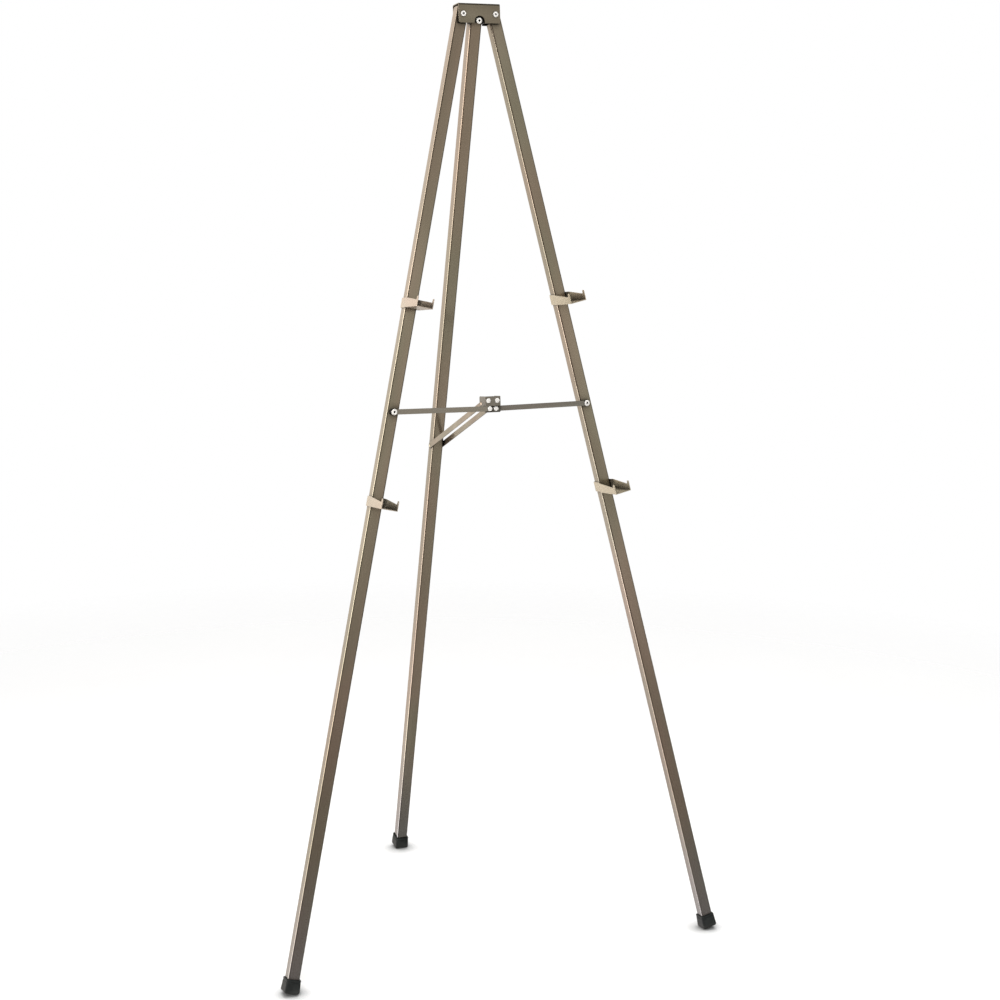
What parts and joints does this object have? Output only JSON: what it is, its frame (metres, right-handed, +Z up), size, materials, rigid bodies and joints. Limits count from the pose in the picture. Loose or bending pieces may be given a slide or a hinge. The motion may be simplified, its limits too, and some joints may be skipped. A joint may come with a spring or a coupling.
{
  "type": "tripod easel",
  "caption": "Folding tripod display easel of square steel tube with a riveted crossbar, rear braces, sliding shelf clips and rubber feet.",
  "frame": {"origin": "on the floor, at the middle of the easel's overall box, so it is under the head in X and midway between the front and rear feet in Y", "axes": "+X to the right of a person facing the easel, +Y from the front legs to the rear leg, +Z up"},
  "size_m": [0.7488, 0.555, 1.504],
  "materials": {
    "bronze_enamel": "satin bronze stove enamel",
    "grey_enamel": "satin grey-bronze enamel",
    "black_enamel": "black enamel",
    "rivet_steel": "bright zinc plate",
    "nylon": "black nylon",
    "rubber_foot": "matt black rubber"
  },
  "bodies": {
    "head": {"head_cap": "bronze_enamel", "hinge_plate": "black_enamel", "rear_clevis": "black_enamel", "clevis_rivet": "rivet_steel", "clevis_pin": "rivet_steel", "head_leg_rivets": "rivet_steel", "head_washers": "nylon"},
    "left_leg": {"left_leg_tube": "bronze_enamel", "left_foot": "rubber_foot"},
    "right_leg": {"right_leg_tube": "bronze_enamel", "right_foot": "rubber_foot"},
    "rear_leg": {"rear_leg_tube": "bronze_enamel", "rear_foot": "rubber_foot"},
    "hub": {"hub_bracket": "grey_enamel", "hub_stop_plate": "grey_enamel", "hub_stop_rivets": "rivet_steel", "hub_strap_rivets": "rivet_steel", "hub_brace_rivets": "bronze_enamel"},
    "left_strap": {"left_crossbar": "bronze_enamel", "left_crossbar_rivet": "rivet_steel", "left_crossbar_bush": "nylon"},
    "right_strap": {"right_crossbar": "bronze_enamel", "right_crossbar_rivet": "rivet_steel", "right_crossbar_washer": "nylon"},
    "braces": {"left_brace": "bronze_enamel", "right_brace": "bronze_enamel", "brace_rear_rivets": "bronze_enamel"},
    "upper_left_clip": {"upper_left_clip": "bronze_enamel"},
    "upper_right_clip": {"upper_right_clip": "bronze_enamel"},
    "lower_left_clip": {"lower_left_clip": "bronze_enamel"},
    "lower_right_clip": {"lower_right_clip": "bronze_enamel"}
  },
  "joints": [
    {"name": "left_leg_fold", "type": "hinge", "parent": "head", "child": "left_leg", "pos_m": [-0.0266, -0.08861, 1.48629], "axis": [0, -0.993, 0.1182], "range_deg": [0, 12.69]},
    {"name": "right_leg_fold", "type": "hinge", "parent": "head", "child": "right_leg", "pos_m": [0.0266, -0.08861, 1.48629], "axis": [0, 0.993, -0.1182], "range_deg": [0, 12.69]},
    {"name": "rear_leg_fold", "type": "hinge", "parent": "head", "child": "rear_leg", "pos_m": [0, -0.08277, 1.48802], "axis": [-1, 0, 0], "range_deg": [0, 20]},
    {"name": "hub_rise", "type": "slide", "parent": "head", "child": "hub", "axis": [0, 0.1182, 0.993], "range_m": [0, 0.14282]},
    {"name": "left_strap_fold", "type": "hinge", "parent": "hub", "child": "left_strap", "pos_m": [-0.0056, -0.17529, 0.8837], "axis": [0, -0.993, 0.1182], "range_deg": [0, 83]},
    {"name": "right_strap_fold", "type": "hinge", "parent": "hub", "child": "right_strap", "pos_m": [0.0056, -0.17529, 0.8837], "axis": [0, 0.993, -0.1182], "range_deg": [0, 83]},
    {"name": "brace_fold", "type": "hinge", "parent": "hub", "child": "braces", "pos_m": [0, -0.15766, 0.88946], "axis": [-1, 0, 0], "range_deg": [0, 72.51]},
    {"name": "upper_left_clip_slide", "type": "slide", "parent": "left_leg", "child": "upper_left_clip", "axis": [0.2196, 0.1153, 0.9687], "range_m": [0, 0.4]},
    {"name": "lower_left_clip_slide", "type": "slide", "parent": "left_leg", "child": "lower_left_clip", "axis": [0.2196, 0.1153, 0.9687], "range_m": [-0.66, 0.05]},
    {"name": "upper_right_clip_slide", "type": "slide", "parent": "right_leg", "child": "upper_right_clip", "axis": [-0.2196, 0.1153, 0.9687], "range_m": [0, 0.4]},
    {"name": "lower_right_clip_slide", "type": "slide", "parent": "right_leg", "child": "lower_right_clip", "axis": [-0.2196, 0.1153, 0.9687], "range_m": [-0.66, 0.05]}
  ],
  "couplings": [
    {"joint": "right_leg_fold", "follows": "left_leg_fold", "ratio": 1},
    {"joint": "rear_leg_fold", "follows": "left_leg_fold", "ratio": 1.5765},
    {"joint": "hub_rise", "follows": "left_leg_fold", "m_per_rad": 0.64502},
    {"joint": "left_strap_fold", "follows": "left_leg_fold", "ratio": 6.5423},
    {"joint": "right_strap_fold", "follows": "left_leg_fold", "ratio": 6.5423},
    {"joint": "brace_fold", "follows": "left_leg_fold", "ratio": 5.7157}
  ]
}
